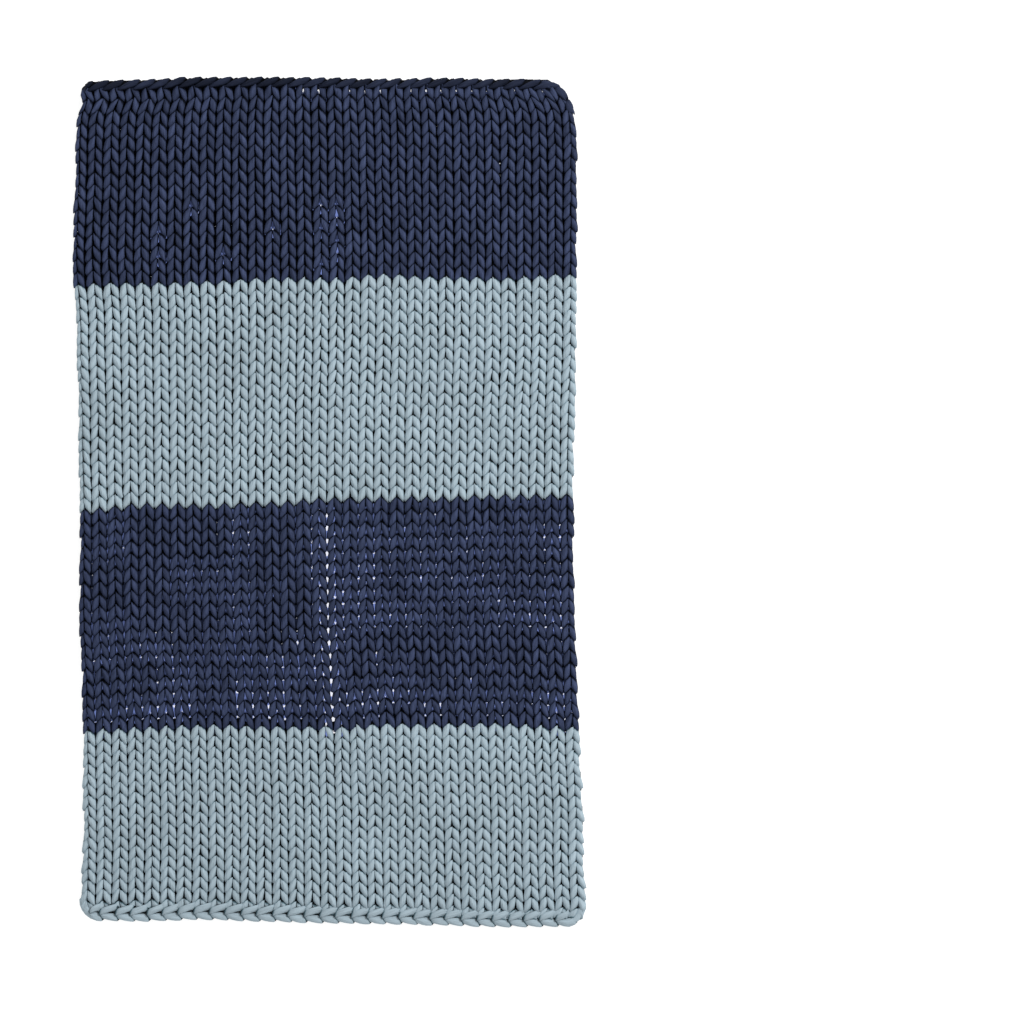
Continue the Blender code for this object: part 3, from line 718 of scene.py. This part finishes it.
def course_line(row, colour):
    """The yarn of one course, as a line for spin()."""
    random = np.random.default_rng(SEED + 10 + row)
    legs = np.arange(-1, 2 * WALES + 1)
    stations = np.concatenate([LEG[:0:-1] if leg % 2 else LEG[:-1] for leg in legs])[1:]
    across, rise, out, wide, thick, front = stations.T.copy()
    leg = np.repeat(legs, len(LEG) - 1)[1:]
    wale = np.where(leg % 2, leg + 1.0 - across, leg + across) / 2.0
    showing = np.clip(3.0 * front, 0.0, 1.0)
    picks = {name: random.uniform(-1.0, 1.0, 2 * WALES + 4)[leg + 2] for name in
             ("across", "along", "wide", "thick", "tilt", "height", "tone_and_shade")}
    edge_pick = EDGE_VARIES * picks["across"]
    picks = {name: LEG_VARIES.get(name, 1.0) * pick for name, pick in picks.items()}
    middle = np.full_like(wale, row + COURSE_SHIFT)
    top_share = rise / LEG[-1, 1]                              # -1 low in the loop, 1 at its head

    loose = slack(wale, np.maximum(middle - rise / STITCH_TALL, TOP_GAP_COURSE))
    left_or_right = np.where(leg % 2 == 0, 1.0, -1.0)
    rise += showing * (picks["along"] + drift(wale, middle, *DRIFTS["halves"]) * left_or_right)
    rise += drift(wale, middle, *DRIFTS["course"])
    if row < 0:
        rise = np.where(loose > 0.4, np.maximum(rise, HIDDEN_FOOT), rise)
    shift = showing * (picks["across"] - picks["tilt"] * top_share)
    shift += drift(wale, middle, *DRIFTS["wale"])
    course = middle - rise / STITCH_TALL

    # Where the yarn runs, in plan.
    outer = (leg < 0) | (leg >= 2 * WALES)
    outwards = np.where(leg < WALES, -1.0, 1.0)
    bulge = np.where(leg < WALES, *EDGE_BULGE)
    edge_lane = selvedge_at(course) / MM - STITCH_WIDE / 2.0 + bulge + edge_pick
    edge_share = np.where(outer, across, 0.0)
    x, y = place(np.clip(wale, 0.0, WALES), course)
    nudged_x, nudged_y = place(np.clip(wale, 0.0, WALES), course + 0.2)
    lean = (nudged_x - x) / (nudged_y - y)                     # of the wales, sideways for each metre up
    x = x + (shift * (1.0 - edge_share) + outwards * edge_share * (edge_lane - EDGE_INSIDE)) * MM
    x, y = push_apart(x, y, front)
    hem_top, hem_bottom = read_table(ACROSS, x, HEM_TOP), read_table(ACROSS, x, HEM_BOTTOM)
    y = np.clip(y, hem_bottom + HEM_ROOM * MM, hem_top - HEM_ROOM * MM)

    # How high it lies, and how thick it is.
    thinner = THINNER_UNDER_EDGE if row < 0 else THINNER_BEHIND
    wide *= (1.0 + picks["wide"]) * (1.0 - thinner * loose * (front == 0.0))
    thick *= (1.0 + picks["thick"]) * (1.0 - 0.15 * edge_share)
    under = np.clip(np.maximum(0.1 - course, course - COURSES + 0.1) / 0.5, 0.0, 1.0)
    height = MIDDLE_HEIGHT + out + showing * picks["height"] - EDGE_DROP * edge_share - HEM_DROP * under
    height = np.maximum(height, thick + 0.5)
    points = np.stack([x, y, height * MM], axis=1)
    side, lift = directions(points)
    slant = showing * (1.0 - under)
    level = np.sign(side[:, 0])
    in_plan = np.stack([level - SHEAR * lean, np.full_like(level, -SHEAR)], axis=1)
    side[:, :2] = side[:, :2] * (1.0 - slant)[:, None] + in_plan * slant[:, None]

    # Legs press on their neighbours at a wall between them, and keep within their own lane.
    walls = np.arange(2 * WALES + 5)               # wall 2 is at wale 0, and two walls make a wale
    moved = WALL_VARIES[colour] * random.uniform(-1.0, 1.0, len(walls))
    moved += (1 - walls % 2) * drift(walls / 2.0, np.full(len(walls), middle[0]), *DRIFTS["wall"])
    apart = WALL_GAP[colour] + (TOP_GAP * loose if row == 0 else 0.0)
    in_lane = wale * STITCH_WIDE + shift
    to_left = in_lane - leg / 2.0 * STITCH_WIDE - moved[leg + 2] - apart
    to_right = (leg + 1) / 2.0 * STITCH_WIDE - in_lane + moved[leg + 3] - apart
    to_outline = edge_lane - edge_share * (edge_lane - EDGE_INSIDE) - TUCKED_IN * (1.0 - showing)
    to_wall = edge_share * (edge_lane - EDGE_INSIDE) - apart
    to_left = np.where(leg < 0, to_outline, np.where(leg >= 2 * WALES, to_wall, to_left))
    to_right = np.where(leg < 0, to_wall, np.where(leg >= 2 * WALES, to_outline, to_right))
    slanted = np.maximum(np.abs(side[:, 0]), 0.45) * (1.0 - slant) + slant
    free = FREE_BEHIND * (1.0 - showing) * np.where(outer, np.clip(1.0 - 2.5 * across, 0.0, 1.0), 1.0)
    to_left, to_right = to_left / slanted + free, to_right / slanted + free
    facing = level > 0.0
    wide_right = np.clip(np.where(facing, to_right, to_left), 1.0, wide)
    wide_left = np.clip(np.where(facing, to_left, to_right), 1.0, wide)

    # Behind, the yarn stays inside the hems.
    above, below = (hem_top - y) / MM - 1.0, (y - hem_bottom) / MM - 1.0
    faces_up = side[:, 1] > 0.0
    wide_right = np.where(front > 0.0, wide_right, np.minimum(wide_right, np.where(faces_up, above, below)))
    wide_left = np.where(front > 0.0, wide_left, np.minimum(wide_left, np.where(faces_up, below, above)))

    steps = np.linalg.norm(np.diff(points, axis=0), axis=1)
    return {
        "points": points, "side": side, "lift": lift,
        "wide_left": wide_left * MM, "wide_right": wide_right * MM, "thick": thick * MM,
        # Front sets the painted shade along the yarn, and the two flank attributes set the painted shade on
        # each flank.
        "front": np.maximum(front, EDGE_LIGHT * edge_share) * (1.0 - UNDER_SHADE * under),
        "packed_left": 1.0 - OUTWARD_CLEAR * edge_share * (facing == (leg < WALES)),
        "packed_right": 1.0 - OUTWARD_CLEAR * edge_share * (facing != (leg < WALES)),
        "painted_glow": loose * (front == 0.0) * np.where(outer, 0.0, 1.0),
        "tone_and_shade": 0.5 + 0.5 * picks["tone_and_shade"] * showing,
        "along": np.concatenate([[0.0], np.cumsum(steps)]) / MM + 400.0 * row,
    }


# %% Knit the four stripes
SQUARENESS = {"navy": 2.7, "grey_blue": 3.4}             # the grey-blue yarn is pressed flatter on top
STRIPE_NAMES = (("stripe_1_navy", "navy"), ("stripe_2_grey_blue", "grey_blue"),
                ("stripe_3_navy", "navy"), ("stripe_4_grey_blue", "grey_blue"))
for (name, colour), first, after in zip(STRIPE_NAMES, STRIPE_STARTS, STRIPE_STARTS[1:]):
    hidden_first = 1 if first == 0 else 0               # one more course hides under the rolled edge,
    hidden_last = 1 if after == COURSES else 0          # and one under the cast-off chain
    rows = range(first - hidden_first, after + hidden_last)
    spin(name, [course_line(row, colour) for row in rows], colour, squareness=SQUARENESS[colour])

# %% [markdown]
# ## Two chains: the rolled first edge and the cast-off
#
# Both hems are chains: loops that lie on their side along the hem, each drawn through the one before it, one
# for every wale. At the bottom the chain lies nearly flat, and it shows as V after V with their points to the
# left. At the top it has rolled over, so only one strand of each loop shows, and it looks like a rope.
#
# A link is a closed ring of two strands. The table follows one strand from behind its point to where it dives
# under the next link. Away is a share of the strand's own lane, from the wall between the two strands
# outwards, along is a share of a wale, and wide is a share of the strand's half width.

# %% A chain along a hem
#    away, along, out,   wide, thick, front
CHAIN_STRAND = np.array((
    (0.14, -0.62, -5.5, 0.60, 4.5, 0.00),
    (0.10, -0.50, -0.8, 0.75, 4.6, 0.00),    # comes through the link before
    (0.20, -0.44, 4.6, 0.88, 5.2, 0.24),
    (0.36, -0.20, 6.2, 1.00, 7.0, 1.00),
    (0.52, 0.08, 5.2, 1.00, 7.4, 1.00),
    (0.68, 0.36, 2.6, 0.95, 7.0, 1.00),
    (0.78, 0.62, -0.8, 0.80, 6.0, 0.00),     # dives under the next link
    (0.66, 0.76, -5.8, 0.60, 5.0, 0.00),
))
ROPE_STRAND = np.array((
    (0.02, -0.66, -6.0, 0.40, 4.0, 0.00),
    (0.02, -0.56, -1.5, 0.42, 4.4, 0.05),
    (0.08, -0.46, 3.8, 0.62, 5.4, 0.85),
    (0.28, -0.20, 6.8, 0.95, 7.4, 1.00),
    (0.52, 0.08, 6.4, 1.05, 8.0, 1.00),
    (0.78, 0.40, 3.6, 1.00, 7.4, 1.00),
    (0.94, 0.68, 0.2, 0.85, 6.4, 0.80),
    (0.96, 0.88, -4.0, 0.60, 5.0, 0.05),
    (0.90, 0.98, -6.5, 0.45, 4.5, 0.00),
))
LINK_SHEAR = 0.85        # slant of a strand's ends
OVER_WALL = 3.0          # mm that a strand inwards of the wall reaches over it
OVER_WALL_OUTER = 1.5    # and one outwards of it
CHAIN_ENDS = (0.004, 0.010)                    # metres that the links stay in from the ends of their route
#   the most that one link differs from another: a share of the pitch, mm, a share, mm, and tone
LINK_VARIES = {"along": 0.04, "inset": 0.8, "width": 0.05, "height": 0.6, "tone_and_shade": 0.35}
HEM_BULGE = 2.5          # mm that the strands bulge out over the hem's line
CHAIN_SPACING = 0.0008   # metres between the points that a route is kept in
LINKS_ACROSS = WALES + 1.2                     # links in the full width of the blanket
LINK_END = 1.2           # pitches that a link reaches on from its point


def hem_route(top, inset, start, turn):
    """A line along a hem, an inset in from it: from X = start to the right, and some way round the corner."""
    radius = CORNER["top_right" if top else "bottom_right"]
    inwards = -1.0 if top else 1.0
    right = ALONG[-1 if top else 0, 3]
    x = np.linspace(start, right - radius, 300)
    y = read_table(ACROSS, x, HEM_TOP if top else HEM_BOTTOM) + inwards * inset
    angle = np.linspace(0.0, turn, 30)[1:]
    bend = radius - inset
    line = np.concatenate([np.stack([x, y], axis=1), np.stack([
        x[-1] + bend * np.sin(angle), y[-1] + inwards * bend * (1.0 - np.cos(angle))], axis=1)])
    steps = np.concatenate([[0.0], np.cumsum(np.linalg.norm(np.diff(line, axis=0), axis=1))])
    far = np.arange(0.0, steps[-1], CHAIN_SPACING)
    route = np.stack([np.interp(far, steps, line[:, k]) for k in (0, 1)], axis=1)
    ahead = np.gradient(route, axis=0)
    ahead /= np.linalg.norm(ahead, axis=1, keepdims=True)
    inward = inwards * np.stack([-ahead[:, 1], ahead[:, 0]], axis=1)
    return far, route, ahead, inward


def chain(top, table, wall, start, turn, first_point, tone_and_shade, flank_shade, strands):
    """The links of a chain, as lines for spin().

    Wall is how far in from the hem the line between the two strands runs, in mm, start its left end as X,
    turn how far it goes round the corner, and first_point how far along it the first link has its point. A
    strand is its lane's width, above 0 inwards and below 0 outwards, its half width and its height, in mm.
    """
    far, route, ahead, inward = hem_route(top, wall * MM, start, turn)
    pitch = (ALONG[-1 if top else 0, 3] - ALONG[-1 if top else 0, 1]) / LINKS_ACROSS
    lines = []
    for link in range(-1, WALES + 1):
        if first_point + (link + LINK_END) * pitch > far[-1]:
            break
        random = np.random.default_rng(SEED * 7 + link + (100 if top else 0))
        picks = random.uniform(-1.0, 1.0, 6)
        varies = {name: most * pick for (name, most), pick in zip(LINK_VARIES.items(), picks)}
        ring = []
        for (lane, half_width, height), stations in zip(strands, (table, table[::-1])):
            away, along, out, wide, thick, front = stations.T.copy()
            at = first_point + (link + 0.5 + along + varies["along"]) * pitch
            nearest = far[0] + CHAIN_ENDS[0] + 0.1 * along * pitch
            spot = np.clip(at, nearest, far[-1] - CHAIN_ENDS[1]) / CHAIN_SPACING
            spot = np.clip(spot.astype(int), 0, len(far) - 1)
            inset = wall + lane * away + varies["inset"] * front
            size = half_width * (1.0 + varies["width"])
            flat = route[spot] + inward[spot] * ((inset - wall) * MM)[:, None]
            up = np.maximum(height + out + varies["height"] * front, thick + 0.6) * MM
            lane_side = np.full(len(away), np.sign(lane))
            ring.append(np.column_stack([flat, up, inset, wide * size, thick, front, spot, lane_side]))
        ring = np.concatenate(ring)
        points = ring[:, :3]
        inset, wide, thick, front, spot, lane_sign = ring[:, 3:].T
        spot = spot.astype(int)
        round_the_ring = np.concatenate([points[-1:], points, points[:1]])
        side, lift = (values[1:-1] for values in directions(round_the_ring))
        hemwards = np.sign(-np.sum(side[:, :2] * inward[spot], axis=1))
        wallwards = hemwards * lane_sign
        side[:, :2] -= (LINK_SHEAR * np.clip(3.0 * front, 0.0, 1.0) * wallwards)[:, None] * ahead[spot]
        to_hem = np.clip(inset + HEM_BULGE, 2.0, wide)
        overlap = np.where(lane_sign > 0, OVER_WALL, OVER_WALL_OUTER)
        to_wall = np.where(front > 0.3, np.clip(np.abs(inset - wall) + overlap, 2.0, wide), wide)
        outer_reach = np.where(lane_sign > 0, to_wall, to_hem)
        inner_reach = np.where(lane_sign > 0, wide, np.minimum(to_wall, wide))
        lines.append({
            "points": points, "side": side, "lift": lift,
            "wide_right": np.where(hemwards > 0, outer_reach, inner_reach) * MM,
            "wide_left": np.where(hemwards > 0, inner_reach, outer_reach) * MM,
            "thick": thick * MM, "front": front, "painted_glow": 0.0 * front,
            "packed_right": flank_shade * np.where((hemwards > 0) & (lane_sign < 0), 0.0, 1.0),
            "packed_left": flank_shade * np.where((hemwards < 0) & (lane_sign < 0), 0.0, 1.0),
            "tone_and_shade": np.full(len(front), tone_and_shade + varies["tone_and_shade"]),
            "along": np.arange(len(front)) * 6.0 + 90.0 * link, "ring": True})
    return lines


# The rolled edge's low tone darkens the whole rope: painted shade, where the edge rolls over. The cast-off's
# tone makes it a little darker. The flank shade of both chains is painted shade between their strands.
ROLLED_EDGE = chain(
    top=True, table=ROPE_STRAND, wall=20.8, start=-0.524, turn=math.radians(48), first_point=0.006,
    tone_and_shade=-1.0, flank_shade=1.4, strands=((-15.5, 10.2, 17.0), (-9.0, 5.0, 6.0)))
CAST_OFF = chain(
    top=False, table=CHAIN_STRAND, wall=15.5, start=-0.514, turn=math.radians(88), first_point=0.022,
    tone_and_shade=0.1, flank_shade=2.6, strands=((18.0, 10.6, 17.0), (-10.5, 11.5, 13.5)))
spin("rolled_edge", ROLLED_EDGE, "navy", sides=10, squareness=2.4)
spin("cast_off_chain", CAST_OFF, "grey_blue", sides=10, squareness=2.4)

# %% [markdown]
# ## Round the corners
#
# At three corners a strand goes round, from the selvedge into the hem, with its ends tucked in. The fourth,
# at the top left, is nearly square and needs none. The left one at the bottom is the fattest: it is the end
# of the yarn. The table gives each corner's radius in metres, how far in from the outline the strand's middle
# lies and its half width in mm, how far it runs up the side and along the hem in metres, its height in mm,
# and the number of leaves that it shows.

# %% Corner strands
#     corner: radius, inset, half width, up the side, along the hem, height, leaves, tone and painted shade,
#         yarn
CORNER_STRANDS = {
    "bottom_left": (0.044, 7.2, 9.4, 0.046, 0.050, 14.5, 1, 0.5, "grey_blue"),
    "bottom_right": (0.047, 7.5, 8.4, 0.056, 0.052, 13.0, 1, 0.5, "grey_blue"),
    "top_right": (0.074, 8.0, 8.6, 0.096, 0.062, 22.0, 3, -0.4, "navy"),
}
CORNER_FLANK_SHADE = 0.8      # shade on the side that touches the knitting


def corner_strand(corner, radius, inset, half_width, up_side, along_hem, height, leaves, tone_and_shade, colour):
    """Make the strand of one corner: a short line round it, thick in the middle of each leaf."""
    top, left = corner.startswith("top"), corner.endswith("left")
    outline_x = ALONG[-1 if top else 0, 1 if left else 3]
    outline_y = ACROSS[0 if left else -1, HEM_TOP if top else HEM_BOTTOM]
    inwards = np.array((1.0 if left else -1.0, -1.0 if top else 1.0))
    turns = np.linspace(0.0, math.pi / 2.0, 8 * leaves - 1)
    arc = radius - (radius - inset * MM) * np.stack([np.cos(turns), np.sin(turns)], axis=1)
    route = np.concatenate([[(inset * MM, up_side)], arc, [(along_hem, inset * MM)]])
    share = np.linspace(0.0, 1.0, len(route))
    body = np.clip(np.minimum(share, 1.0 - share) * 7.0, 0.0, 1.0)
    if leaves > 1:
        body *= np.abs(np.sin(math.pi * leaves * share)) ** 0.7
    flat = np.array((outline_x, outline_y)) + inwards * route
    points = np.column_stack([flat, (7.0 + (height - 7.0) * body) * MM])
    side, lift = directions(points)
    wide = half_width * (0.6 + 0.4 * body) * MM
    line = {
        "points": points, "side": side, "lift": lift, "wide_left": wide, "wide_right": wide,
        "thick": (4.5 + 3.0 * body) * MM, "front": 0.05 + 0.95 * body,
        "packed_left": np.full(len(route), CORNER_FLANK_SHADE if top != left else 0.0),
        "packed_right": np.full(len(route), 0.0 if top != left else CORNER_FLANK_SHADE),
        "painted_glow": 0.0 * share, "tone_and_shade": np.full(len(route), tone_and_shade), "along": share * 100.0}
    spin("corner_" + corner, [line], colour, sides=12, squareness=2.4)


for corner, strand in CORNER_STRANDS.items():
    corner_strand(corner, *strand)

# %% [markdown]
# ## The size, and the end
#
# The finished knitting is measured beside the solid's box, and the last call checks every piece.

# %% Measure and finish
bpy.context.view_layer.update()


def plain(box):
    return [[float(value) for value in corner] for corner in box]
